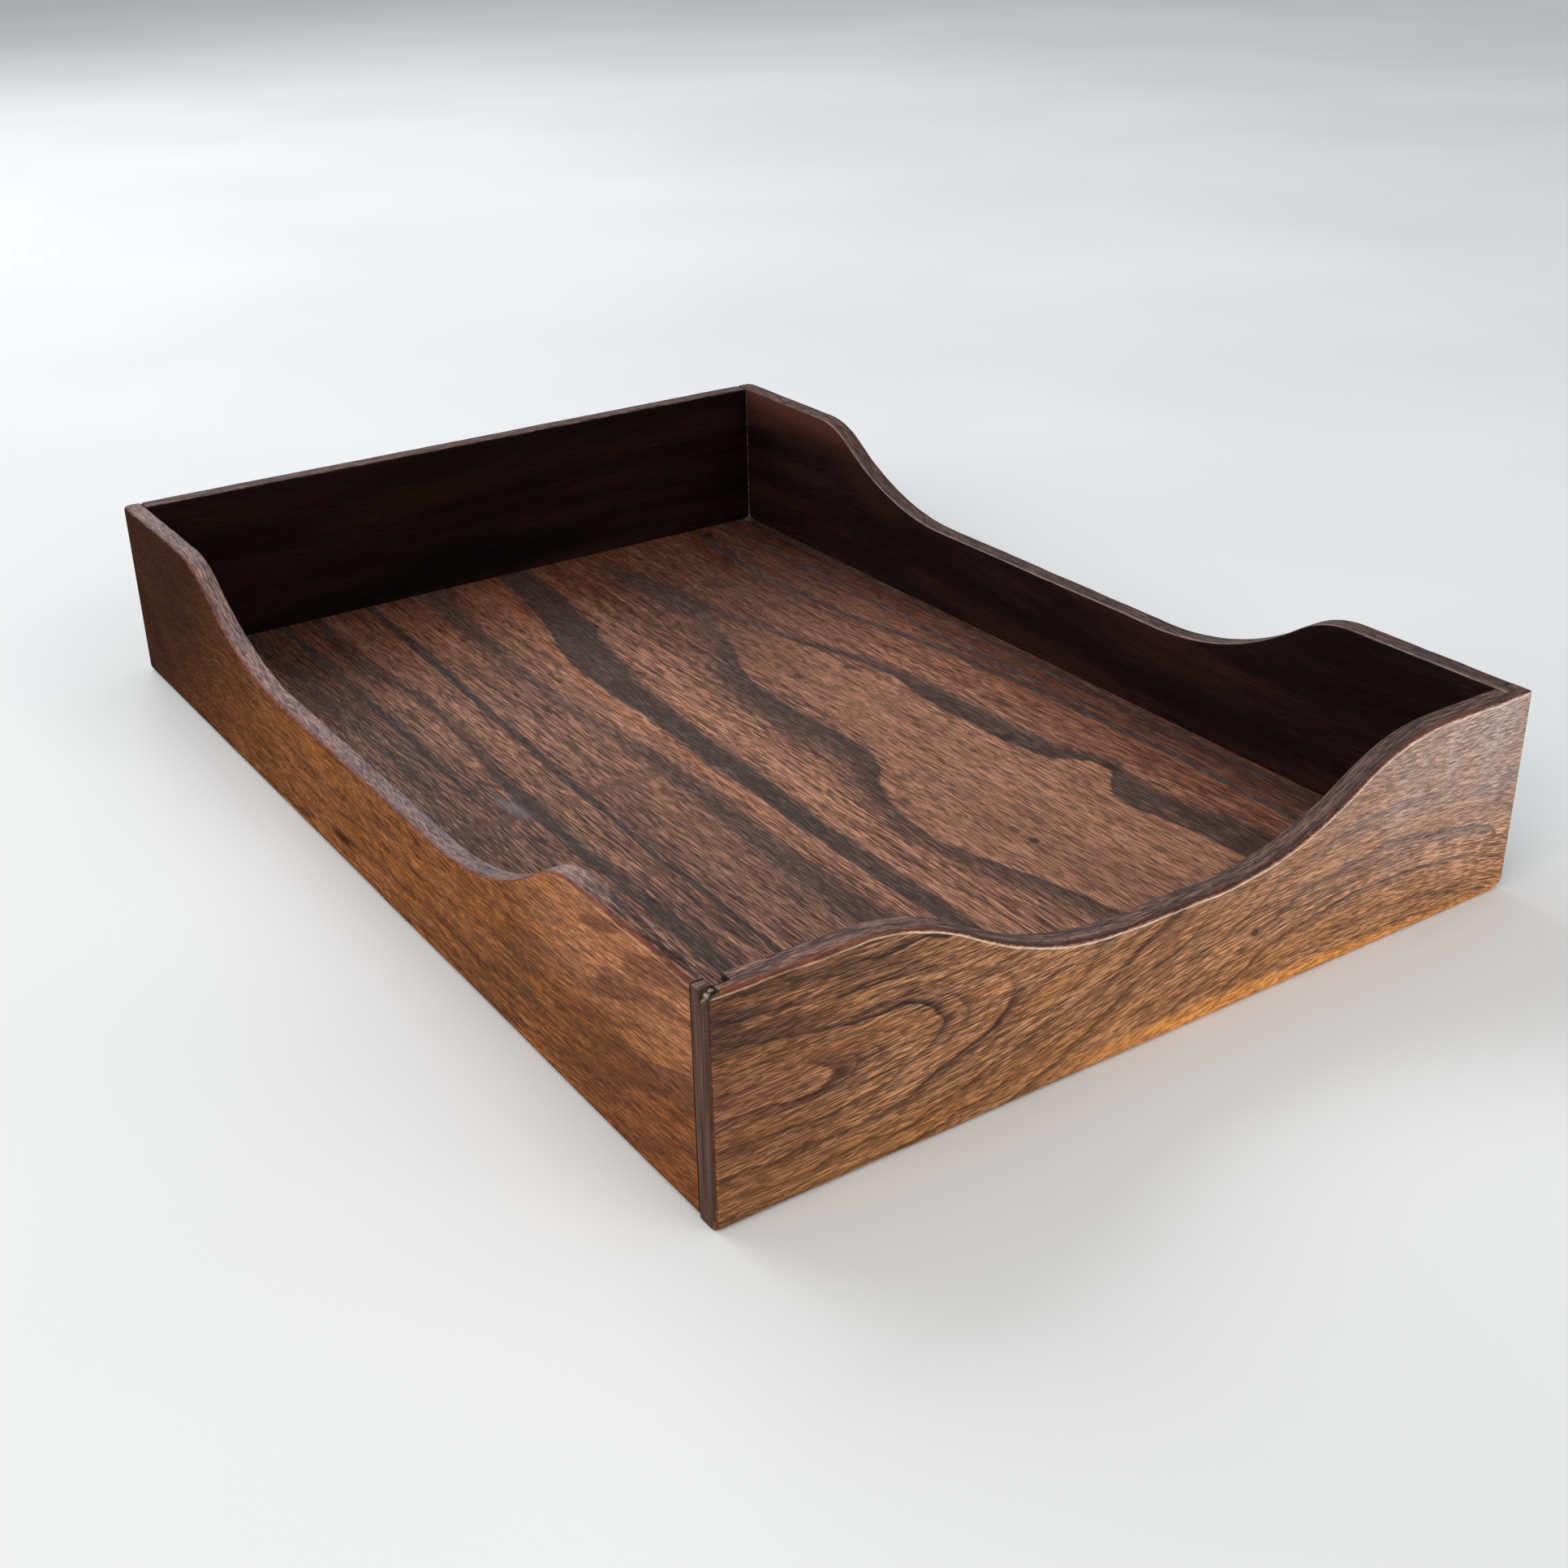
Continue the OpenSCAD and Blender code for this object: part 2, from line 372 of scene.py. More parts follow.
class Graph:
    """The node tree of one material, written as short calls that give Fields."""

    def __init__(self, name):
        self.material = bpy.data.materials.new(name)
        self.material.use_nodes = True
        self.nodes = self.material.node_tree.nodes
        self.links = self.material.node_tree.links
        self.shader = self.nodes["Principled BSDF"]
        place = self.split("ShaderNodeTexCoord", "Object")
        self.x, self.y, self.z = (part / MM for part in place)

    def node(self, kind, inputs, **settings):
        made = self.nodes.new(kind)
        for key, value in settings.items():
            setattr(made, key, value)
        for key, value in inputs.items():
            self.feed(made.inputs[key], value)
        return made

    def field(self, kind, inputs, output=0, **settings):
        """One output of a new node."""
        return Field(self, self.node(kind, inputs, **settings).outputs[output])

    def split(self, kind, output, **settings):
        """The three parts of one output of a new node."""
        whole = self.field(kind, {}, output, **settings)
        return [Field(self, part) for part in self.node("ShaderNodeSeparateXYZ", {0: whole}).outputs]

    def feed(self, socket, value):
        if isinstance(value, Field):
            self.links.new(value.socket, socket)
        else:
            socket.default_value = value

    def math(self, operation, *values):
        return self.field("ShaderNodeMath", dict(enumerate(values)), operation=operation)

    def most(self, *values):
        result = values[0]
        for value in values[1:]:
            result = self.math("MAXIMUM", result, value)
        return result

    def least(self, value, cap):
        return self.math("MINIMUM", value, cap)

    def step(self, value, low, high):
        """0 below low, 1 above high and smooth between; low may be above high."""
        settings = {"Value": value, "From Min": low, "From Max": high}
        return self.field("ShaderNodeMapRange", settings, "Result", interpolation_type="SMOOTHSTEP")

    def near(self, value, middle, reach):
        """1 at the middle, smoothly down to 0 at a reach to either side."""
        return self.step(self.math("ABSOLUTE", value - middle), reach, 0.0)

    def noise(self, x, y, z, detail=2.0, roughness=0.5):
        """Smooth random values from 0 to 1, mostly near a half."""
        place = self.field("ShaderNodeCombineXYZ", {0: x, 1: y, 2: z})
        settings = {"Vector": place, "Scale": 1.0, "Detail": detail, "Roughness": roughness}
        return self.field("ShaderNodeTexNoise", settings, "Fac")

    def curve(self, value, points):
        """A smooth line through the points (value, result), both from 0 to 1."""
        made = self.node("ShaderNodeFloatCurve", {"Factor": 1.0, "Value": value})
        line = made.mapping.curves[0]
        line.points[0].location = points[0]
        line.points[1].location = points[-1]
        for point in points[1:-1]:
            line.points.new(*point)
        made.mapping.update()
        return Field(self, made.outputs[0])

    def ramp(self, value, stops):
        made = self.node("ShaderNodeValToRGB", {"Fac": value})
        bands = made.color_ramp.elements
        bands[0].position, bands[0].color = stops[0]
        bands[1].position, bands[1].color = stops[-1]
        for position, colour in stops[1:-1]:
            bands.new(position).color = colour
        return Field(self, made.outputs["Color"])

    def mix(self, first, second, share, mode="MIX"):
        inputs = {0: share, 6: first, 7: second}
        return self.field("ShaderNodeMix", inputs, 2, data_type="RGBA", blend_type=mode)

    def paint(self, colour, *marks):
        """The colour with marks laid over it in turn, each given as (its colour, its share)."""
        for tint, share in marks:
            colour = self.mix(colour, tint, share)
        return colour

    def scale(self, colour, amount):
        """The colour made brighter or darker by an amount."""
        grey = self.field("ShaderNodeCombineColor", {0: amount, 1: amount, 2: amount})
        return self.mix(colour, grey, 1.0, "MULTIPLY")

    def girth(self):
        """The place round a board's section, from the UV map that board() writes."""
        return self.split("ShaderNodeUVMap", 0, uv_map="girth")[1]

    def facing(self, axis):
        """How squarely the surface faces along an axis, either way: 0 to 1."""
        return self.math("ABSOLUTE", self.split("ShaderNodeNewGeometry", "True Normal")[axis])

    def finish(self, colour, roughness, height, depth, specular=0.5):
        """Sets the surface: height is in shares of depth, and depth in millimetres."""
        bump = {"Height": height, "Distance": depth * MM, "Strength": 1.0}
        surface = {
            "Base Color": colour,
            "Roughness": roughness,
            "Normal": self.field("ShaderNodeBump", bump),
            "Specular IOR Level": specular,
        }
        for name, value in surface.items():
            self.feed(self.shader.inputs[name], value)
        return self.material


# ---------- wood ----------

DARK_LINE = rgb(52, 38, 35)
RING_SHADE = rgb(88, 62, 54)
PORE = rgb(38, 24, 19)
ARRIS_DARK = rgb(66, 30, 20)
ARRIS_RED = rgb(138, 70, 44)
# The pale line under the outer arris is a painted highlight.
RIM_HIGHLIGHT = rgb(255, 232, 214)
# The grey mixed into the top edges is a painted reflection.
TOP_REFLECTION = rgb(136, 122, 126)
TOP_STOPS = [(0.1, rgb(60, 38, 34)), (0.5, rgb(112, 78, 66)), (0.9, rgb(172, 128, 106))]
# The very dark inside: partly a darker stain, partly painted shade of the well.
INNER_STOPS = [(0.1, rgb(16, 10, 11)), (0.5, rgb(30, 18, 17)), (0.9, rgb(54, 29, 24))]
INNER_RED = rgb(92, 52, 43)
# The light line along the inner arris is a painted highlight.
INNER_RIM_HIGHLIGHT = rgb(168, 146, 142)
END_STOPS = [(0.1, rgb(42, 28, 24)), (0.5, rgb(82, 57, 47)), (0.9, rgb(122, 88, 70))]
VENEER_STOPS = [
    (0.05, rgb(66, 42, 34)),
    (0.35, rgb(114, 76, 60)),
    (0.6, rgb(146, 99, 78)),
    (0.95, rgb(190, 136, 106)),
]
TOP_SLICE = 3.1  # the slice of the fibres and pores that the top edge shows

# The tones of a board's outer face: light, middle, dark, and a warmer one that comes and goes.
FRONT_TONES = (rgb(214, 156, 112), rgb(168, 116, 82), rgb(104, 70, 52), rgb(186, 120, 62))
LEFT_TONES = (rgb(174, 114, 70), rgb(134, 84, 52), rgb(92, 56, 36), rgb(150, 92, 46))
DULL_TONES = (rgb(174, 120, 80), rgb(128, 86, 58), rgb(82, 54, 40), rgb(146, 92, 50))


def fibres(g, along, across, depth, width=0.3, stretch=26):
    """Fine lines along the grain, 0 to 1: threads as wide as width, and bundles of a few threads."""
    thread_l = stretch * width
    bundle_w = 3 * width
    thread = g.step(g.noise(along / thread_l, across / width, depth / width, 1.0), 0.36, 0.64)
    bundle = g.step(g.noise(along / (4 * thread_l), across / bundle_w, depth / bundle_w, 2.0), 0.3, 0.7)
    return 0.8 * thread + 0.2 * bundle


def pores(g, along, across, depth, length=3.2, width=0.3, share=0.5):
    """Open pores: short dark dashes along the grain, 1 inside a pore."""
    spread = g.noise(along / length, across / width, depth / width, 0.0)
    patch = g.noise(along / 30, across / 7, depth / 7, 1.0)
    edge = 0.62 - 0.16 * share - 0.2 * (patch - 0.5)
    return g.step(spread, edge, edge + 0.1)


def rings(g, radius, spacing, along, across):
    """Growth rings from a distance to the tree's middle, as two shares: the dark line that starts each
    ring, and the shade that fades away outside it."""
    jitter = g.noise(radius / (2.5 * spacing), along / 200, 3.7, 1.0)
    count = radius / spacing + 1.8 * (jitter - 0.5)
    phase = g.math("FRACT", count)
    start = g.step(phase, 0.0, 0.05)
    strength = 0.3 + 1.1 * g.step(g.noise(count - phase, along / 60, across / 30, 1.0), 0.35, 0.65)
    line = start * g.step(phase, 0.27, 0.06) * strength
    shade = start * g.step(phase, 0.75, 0.0) * strength
    return line, shade


class Edges(NamedTuple):
    """How a board's edges look: shares from 0 to 1, as numbers or as Fields that change along it."""

    rim_highlight: object  # the painted highlight line under the outer arris
    arris_red: object
    # How bright each board's top is painted, and how much painted grey reflection it gets: painted light.
    painted_top_light: object
    top_reflection: object
    inner_red: object  # the inside, near the top
    inner_bright: object = 1.0
    inner_rim_highlight: object = 0.0  # the painted highlight line along the inner arris


class Look(NamedTuple):
    """What makes one board's wood its own. axes name the directions along the board, up it and through
    it. tones are its light, middle, dark and warm brown. flow is how far its grain climbs, ring_field
    where its growth rings lie, edges how its edges look, and extras adds the marks on its outer face."""

    axes: str
    tones: tuple
    flow: object
    ring_field: object
    ring_spacing: float
    ring_strength: float
    edges: object
    extras: object = None
    gloss: float = 0.1
    contrast: float = 1.0


class Wood:
    """The fields that all faces of one board share: its places, grain, pores, drifts and wear."""

    def __init__(self, g, look):
        a, c, d = (getattr(g, axis) for axis in look.axes)
        self.a, self.c, self.d = a, c, d
        self.girth = g.girth()
        self.waver = 1.4 * (g.noise(a / 60, c / 25, d / 25, 1.0) - 0.5)
        self.lane = c - look.flow(g, a, c) + self.waver
        self.grain = fibres(g, a, self.lane, d)
        self.pores = pores(g, a, self.lane, d, share=0.75)
        self.drift = g.step(g.noise(a / 110, self.lane / 12, d / 22, 3.0), 0.25, 0.75)
        self.worn = g.step(g.noise(a / 7, self.lane / 7, d / 7, 3.0), 0.36, 0.56)


def outer_face(g, look, wood):
    """The oiled outer face: fibres over growth rings, then the board's own marks, then the pores."""
    radius, ring_share = look.ring_field(g, wood.a, wood.c, wood.d)
    strength = look.ring_strength * ring_share
    line, ring_shade = rings(g, radius, look.ring_spacing, wood.a, wood.c)
    fine_line, fine_shade = rings(g, radius + 1.3, look.ring_spacing / 3.7, wood.a, wood.c)
    clouds = strength * (0.62 * ring_shade + 0.3 * fine_shade) * (1.15 - 0.3 * wood.grain)
    lines = strength * (0.9 * line + 0.25 * fine_line) * (1.2 - 0.4 * wood.grain)

    light, middle, dark, warm = look.tones
    tone = 0.58 + look.contrast * (wood.grain - 0.5) + 0.15 * (wood.drift - 0.5)
    warmth = g.step(g.noise(wood.a / 70, wood.lane / 9, 7.3, 2.0), 0.4, 0.65)
    colour = g.paint(
        g.ramp(tone, [(0.1, dark), (0.5, middle), (0.9, light)]),
        (warm, 0.4 * warmth),
        (RING_SHADE, g.least(clouds, 0.8)),
        (DARK_LINE, g.least(lines, 0.85)),
    )
    if look.extras:
        colour = look.extras(g, wood.a, wood.c, colour, wood.grain)
    return g.mix(colour, PORE, 0.52 * look.contrast * wood.pores)


def top_face(g, wood, edge):
    """The dull top edge: blotched and streaked along the board, with a painted grey reflection and a
    brightness painted for each board's light.
    """
    across = wood.d + wood.waver
    grain = fibres(g, wood.a, across, TOP_SLICE)
    open_pores = pores(g, wood.a, across, TOP_SLICE, share=0.9)
    blotch = g.step(g.noise(wood.a / 16, wood.d / 1.8, 5.5, 2.0), 0.3, 0.7)
    colour = g.ramp(grain + 0.5 * (blotch - 0.5), TOP_STOPS)
    # painted grey reflection
    colour = g.mix(colour, TOP_REFLECTION, edge.top_reflection * (1.3 - 0.9 * grain))
    # painted light: the top's brightness on this board
    return g.scale(g.mix(colour, PORE, 0.6 * open_pores), edge.painted_top_light)


def inner_face(g, wood, edge):
    """The inside, painted very dark: partly a darker stain and partly painted shade of the well, redder
    near its top.
    """
    colour = g.ramp(0.5 + 0.3 * (wood.grain - 0.5) + 0.6 * (wood.drift - 0.5), INNER_STOPS)
    colour = g.scale(colour, edge.inner_bright)
    near_top = g.step(wood.girth, INNER + 0.35, INNER)
    return g.mix(colour, INNER_RED, edge.inner_red * near_top * (0.4 + 0.6 * wood.drift))


def end_face(g, wood):
    """End grain: thin upright layers."""
    layers = g.noise(wood.d / 0.55, wood.a / 0.7, wood.c / 30, 2.0)
    return g.ramp(0.5 + 1.8 * (layers - 0.5), END_STOPS)


def outside_wood(name, look):
    """Walnut for a board: its outer face, top, inside and ends, the arrises between them, their wear and
    the painted highlights along them.
    """
    g = Graph(name)
    wood = Wood(g, look)
    edge = look.edges(g, wood.a)
    girth = wood.girth
    along, through = (g.facing("xyz".index(axis)) for axis in (look.axes[0], look.axes[2]))
    nicks = 1.2 * (g.noise(wood.a / 1.6, wood.d / 1.2, wood.c / 1.2, 2.0) - 0.5)
    top_share = g.step(girth + nicks, OUTER_ARRIS + 0.4, OUTER_ARRIS + 0.9)
    inner_share = g.step(girth, INNER_ARRIS + 0.3, INNER_ARRIS + 0.9)
    end_share = g.step(along, 0.75, 0.95) * g.step(girth, OUTER, OUTER + 0.02)
    upright = g.step(along * through, 0.15, 0.4)
    wear = 0.6 + 0.4 * wood.worn
    # A painted highlight line just under the outer arris, left off the upright arrises.
    above_rim = g.step(girth, OUTER + RIM_SHARE, OUTER_ARRIS - 0.03)
    painted_rim_highlight = above_rim * g.step(girth, OUTER_ARRIS + 0.3, OUTER_ARRIS)
    painted_rim_highlight = painted_rim_highlight * g.least(edge.rim_highlight * 1.4, 1.0) * wear * (1 - upright)
    # A painted highlight line along the inner arris.
    inner_rim_highlight = g.near(girth, INNER_ARRIS + 0.4, 0.5) * edge.inner_rim_highlight * (0.5 + 0.5 * wood.worn)

    arris_colour = g.mix(ARRIS_DARK, ARRIS_RED, edge.arris_red * (0.4 + 0.6 * wood.worn))
    colour = g.paint(
        outer_face(g, look, wood),
        (top_face(g, wood, edge), top_share),
        (inner_face(g, wood, edge), inner_share),
        (end_face(g, wood), end_share),
        (arris_colour, 0.85 * g.near(girth, OUTER_ARRIS + 0.75, 0.6)),
        (ARRIS_DARK, 0.8 * upright * wear),
        # painted highlight under the outer arris
        (g.mix(look.tones[0], RIM_HIGHLIGHT, edge.rim_highlight), painted_rim_highlight),
        # painted highlight along the inner arris
        (INNER_RIM_HIGHLIGHT, inner_rim_highlight),
    )

    roughness = 0.42 + 0.15 * (wood.drift - 0.5) + 0.12 * top_share + 0.2 * wood.pores + 0.15 * end_share
    face_gloss = look.gloss * (1 - 0.6 * inner_share)
    specular = g.most(face_gloss, 0.12 * top_share * (1 - inner_share), 0.4 * painted_rim_highlight)
    height = (0.35 * wood.grain - wood.pores) * (1 - 0.7 * inner_share)
    return g.finish(colour, roughness, height, 0.16, specular)


def across_front(a):
    """The share of the way along the front board, from its left end to its right."""
    return a / (WIDTH / MM) + 0.5


def front_flow(g, a, c):
    """How far the front board's grain climbs from left to right; less near its top."""
    path = [(0, 0.0), (0.3, 0.25), (0.6, 0.85), (0.75, 1.0), (1, 0.75)]
    climb = 26 * g.curve(across_front(a), path)
    return climb * g.step(c, HEIGHT / MM, 20)


def front_rings(g, a, c, d):
    """Cathedral loops at the left that open into long waves: rings of a tree whose middle slants away."""
    t = across_front(a)
    bend = g.noise(a / 45, c / 30, d / 30, 2.0) - 0.5
    fine = g.noise(a / 12, c / 6, d / 6, 2.0) - 0.5
    axis = 20 + 50 * g.curve(t, [(0, 0.28), (0.25, 0.24), (0.5, 0.5), (0.78, 0.8), (1, 0.5)])
    away_path = [(0, 0.03), (0.135, 0.106), (0.241, 0.222), (0.311, 0.295), (0.6, 0.55), (1, 0.62)]
    away = 60 * g.curve(t, away_path)
    rise = c + 9 * bend + 4.5 * fine - axis
    return g.math("SQRT", rise * rise + away * away), 1 - 0.45 * g.step(a, 20, 90)


def front_extras(g, a, c, colour, grain):
    """Darker and warmer at the left, and brighter to the right partly as a painted sheen, with a painted
    gold reflection along the foot, dark clouds at the upper left, a rosy patch, a small knot, a smudge and
    a painted grey sheen that grows to the upper right."""
    # The face brightens from left to right: partly painted sheen.
    brightness = g.curve((a + 125) / 185, [(0, 0), (0.22, 0.42), (0.5, 0.6), (1, 0.95)])
    # The gold band along the foot is a painted reflection in the rounded foot.
    wave = 2.5 * (g.noise(a / 40, 2.2, 0.0, 2.0) - 0.5)
    reach = 7.0 - 3.4 * g.step(a, 20, 130)
    painted_table_reflection = g.step(c + wave - reach, 0.0, -3.0) * g.step(a, -50, 10)
    cloud = g.step(c, 34, 54) * g.step(a, -55, -105) * g.step(g.noise(a / 40, c / 5, 1.0, 2.0), 0.4, 0.56)
    knot_x = (a - 31.6) / 1.6
    knot_z = (c - 20.5) / 1.1
    knot = g.step(knot_x * knot_x + knot_z * knot_z, 1.6, 0.1)
    ripple = g.step(g.noise(a / 9, c / 60, 6.1, 1.0), 0.35, 0.65)
    # A painted grey sheen over the upper right of the face.
    painted_sheen = g.step(c, 0, 52) * g.step(a, 10, 118)
    return g.paint(
        g.scale(colour, 0.8 + 0.63 * brightness),
        (rgb(118, 64, 42), 0.3 * g.step(a, -85, -125)),
        (rgb(178, 118, 60), 0.3 * g.step(c, 30, 8)),
        # painted gold reflection along the foot
        (rgb(255, 172, 94), 0.95 * painted_table_reflection * (0.85 + 0.3 * grain)),
        (rgb(62, 48, 45), 0.65 * cloud),
        (rgb(176, 112, 86), 0.3 * g.near(a, -112, 34) * g.near(c, 34, 9)),
        (rgb(52, 30, 30), 0.8 * knot),
        (rgb(96, 98, 116), 0.45 * g.near(a, 127, 6) * g.near(c, 36, 7)),
        # painted grey sheen
        (rgb(218, 198, 192), painted_sheen * (0.55 + 0.22 * ripple)),
    )


def front_edges(g, a):
    """A painted highlight line all along the outer arris, thinner at the left, where the arris is redder
    and the top is painted brighter.
    """
    left = g.step(a, -50, -110)
    return Edges(
        rim_highlight=0.9 - 0.5 * left,
        arris_red=g.most(left, 0.8 * g.near(a, 98, 30)),
        painted_top_light=0.6 + 0.4 * g.step(a, 20, -80),
        top_reflection=0.25,
        inner_red=0.0,
    )


def left_edges(g, a):
    """A painted highlight line only towards the front; a top with a painted grey reflection, brown near the
    front, and a painted highlight on the shoulder.
    """
    # Where the top gets its painted grey reflection and is painted brighter: all but the front end.
    grey = g.step(a, -165, -120)
    return Edges(
        rim_highlight=0.3 * g.step(a, -110, -170),
        arris_red=0.7 * g.step(a, 190, 60),
        painted_top_light=1.0 + 0.2 * grey + 0.35 * g.near(a, -128, 16),
        top_reflection=0.6 * grey,
        inner_red=0.1,
    )


def right_edges(g, a):
    """Dull, with a top painted darker, and a red inner edge and a painted highlight line along the inner
    edge towards the back.
    """
    inner_red = 0.9 * g.step(a, 70, 140)
    inner_rim_highlight = 0.6 * g.step(a, 175, 120)
    return Edges(0.2, 0.2, painted_top_light=0.5, top_reflection=0.3, inner_red=inner_red, inner_rim_highlight=inner_rim_highlight)


def back_edges(_g, _a):
    """Dull, with a top painted darker and a darker inside."""
    return Edges(0.2, 0.2, painted_top_light=0.65, top_reflection=0.3, inner_red=0.05, inner_bright=0.6)


def level_flow(g, a, _c):
    """Grain that runs straight along the board, with one long wave."""
    return 5 * g.math("SINE", a / 60)


def side_rings(g, a, c, d):
    """Nearly straight grain that leans a little."""
    bend = g.noise(a / 70, c / 40, d / 30, 2.0) - 0.5
    return c + 0.06 * a + 22 * bend, 1.0


def left_extras(g, a, c, colour, grain):
    """Dark towards the back, golden in the middle, with a knot's streak low down."""
    back = g.step(a + 1.2 * (c - 30), -10, 170)
    sheen = g.step(a, -60, 20) * (g.noise((a - c) / 14, c / 60, 8.0, 2.0) - 0.5)
    sloped = a + 1.1 * c
    bands = g.near(sloped, -95, 60) * g.step(g.noise(sloped / 28, c / 5, 4.0, 2.0), 0.42, 0.6)
    patch = g.step(a, -115, -160) * g.step(g.noise(a / 40, (c + 0.3 * a) / 6, 9.0, 2.0), 0.46, 0.56)
    return g.paint(
        g.scale(g.mix(colour, rgb(60, 38, 30), 0.95 * back), 1 + 0.7 * sheen),
        (rgb(36, 23, 17), 0.9 * g.near(a, 12, 15) * g.near(c + 0.06 * (a - 12), 9.0, 3.2)),
        (rgb(84, 62, 50), 0.6 * bands),
        (rgb(206, 142, 106), 0.5 * g.step(a, -90, -140) * g.step(c, 24, 48) * (0.4 + grain)),
        (rgb(92, 62, 52), 0.6 * patch),
        (rgb(122, 72, 50), 0.45 * g.step(a, -110, -165) * g.step(c, 36, 8)),
    )


# ---------- floor figure ----------


WIDEST = 20.0  # millimetres that stand for 1 in the curve of a feather's half-width


class Feather(NamedTuple):
    """A dark streak of the floor's figure. Each point of its path is (share of the way from the back to
    the front, share of the way from the left to the right, half-width in millimetres)."""

    strength: float
    left_blur: float
    right_blur: float
    path: list

    def draw(self, g, across, share):
        """The strength inside the streak, 0 outside."""
        middle = g.curve(share, [(p[0], p[1]) for p in self.path]) * (WELL_W / MM)
        half = g.curve(share, [(p[0], (p[2] + 2) / WIDEST) for p in self.path]) * WIDEST - 2
        off = across - middle
        inside_left = g.step(off + half, -self.left_blur, self.left_blur)
        inside_right = g.step(half - off, -self.right_blur, self.right_blur)
        return inside_left * inside_right * self.strength


FEATHERS = [
    Feather(0.7, 5, 3, [(0, 0.1, -2), (0.45, 0.09, -1), (0.6, 0.085, 3), (0.8, 0.1, 4), (1, 0.11, 2)]),
    Feather(0.75, 4, 6, [(0, 0.12, 3), (0.2, 0.12, 2), (0.45, 0.12, 0), (1, 0.12, -2)]),
    Feather(0.85, 1, 1.5, [
        (0, 0.17, 1.8), (0.2, 0.168, 1.5), (0.4, 0.158, 1.2), (0.6, 0.156, -1), (1, 0.15, -2),
    ]),
    Feather(0.75, 1, 3, [
        (0, 0.225, 2.5), (0.14, 0.213, 2.2), (0.25, 0.228, 1.4), (0.5, 0.205, 2.8), (1, 0.2, 2),
    ]),
    Feather(1.0, 0.6, 0.8, [
        (0, 0.31, 1.8), (0.22, 0.292, 1.5), (0.4, 0.28, 1.4), (0.56, 0.267, 1.1), (1, 0.264, 0.7),
    ]),
    Feather(0.65, 4, 3, [
        (0, 0.41, 6), (0.12, 0.395, 4), (0.3, 0.38, 1.6), (0.5, 0.388, 3.5), (0.7, 0.38, 5.5),
        (1, 0.385, 6),
    ]),
    Feather(0.95, 0.8, 2.2, [
        (0, 0.548, 6.5), (0.12, 0.535, 8), (0.26, 0.49, 8.5), (0.38, 0.47, 5.4), (0.55, 0.46, 4.4),
        (0.75, 0.452, 3.4), (1, 0.462, 2),
    ]),
    Feather(0.8, 7, 3, [
        (0, 0.7, -2), (0.07, 0.69, 3), (0.15, 0.7, 7), (0.22, 0.7, 4), (0.3, 0.69, -1), (1, 0.7, -2),
    ]),
    Feather(0.84, 8, 0.6, [
        (0, 0.69, -2), (0.2, 0.69, 0), (0.3, 0.665, 3), (0.37, 0.615, 5), (0.47, 0.6, 6),
        (0.58, 0.605, 5), (0.63, 0.57, 3.4), (0.7, 0.545, 2.4), (0.8, 0.568, 3.2), (1, 0.65, 3.4),
    ]),
    Feather(0.85, 0.6, 4, [
        (0, 0.71, -2), (0.2, 0.725, 1), (0.33, 0.76, 1.4), (0.42, 0.8, 2), (0.55, 0.805, 5),
        (0.66, 0.82, 5), (0.705, 0.852, 2.4), (0.75, 0.825, 6), (0.85, 0.845, 8), (1, 0.85, 11),
    ]),
    Feather(0.8, 0.8, 2, [
        (0, 0.9, 2.5), (0.12, 0.868, 1.6), (0.3, 0.88, 1.2), (0.45, 0.915, 1.6), (1, 0.925, 1),
    ]),
    Feather(0.6, 1, 1.5, [(0, 0.95, 2), (0.3, 0.94, 1), (0.45, 0.94, 2), (0.7, 0.955, 1), (1, 0.95, 1.6)]),
    Feather(0.6, 1.5, 3, [(0, 0.985, 3), (0.4, 0.985, 2), (0.6, 0.98, 2.5), (1, 0.985, 3)]),
]

# The two edges of the pale tongue, and the orange line left of it. Each point of a line is (share of the
# way from the back to the front, share of the way from the left to the right).
TONGUE_LEFT = [(0, 0.7), (0.23, 0.705), (0.36, 0.645), (0.5, 0.645), (0.6, 0.62), (0.66, 0.565), (1, 0.65)]
TONGUE_RIGHT = [(0, 0.7), (0.23, 0.71), (0.36, 0.755), (0.5, 0.785), (0.62, 0.78), (0.7, 0.83), (1, 0.79)]
ORANGE_LINE = [(0, 0.5), (0.13, 0.475), (0.3, 0.44), (0.5, 0.427), (1, 0.41)]

# Small marks in the floor: (share from the back, share from the left, radius across, darkness).
KNOTS = [
    (0.188, 0.551, 1.1, 0.95),
    (0.404, 0.69, 2.0, 0.6),
    (0.415, 0.764, 1.8, 0.65),
    (0.661, 0.581, 1.8, 0.45),
    (0.772, 0.643, 1.4, 0.85),
    (0.708, 0.845, 1.8, 0.6),
    (0.618, 0.797, 2.2, 0.7),
    (0.03, 0.898, 1.8, 0.85),
]


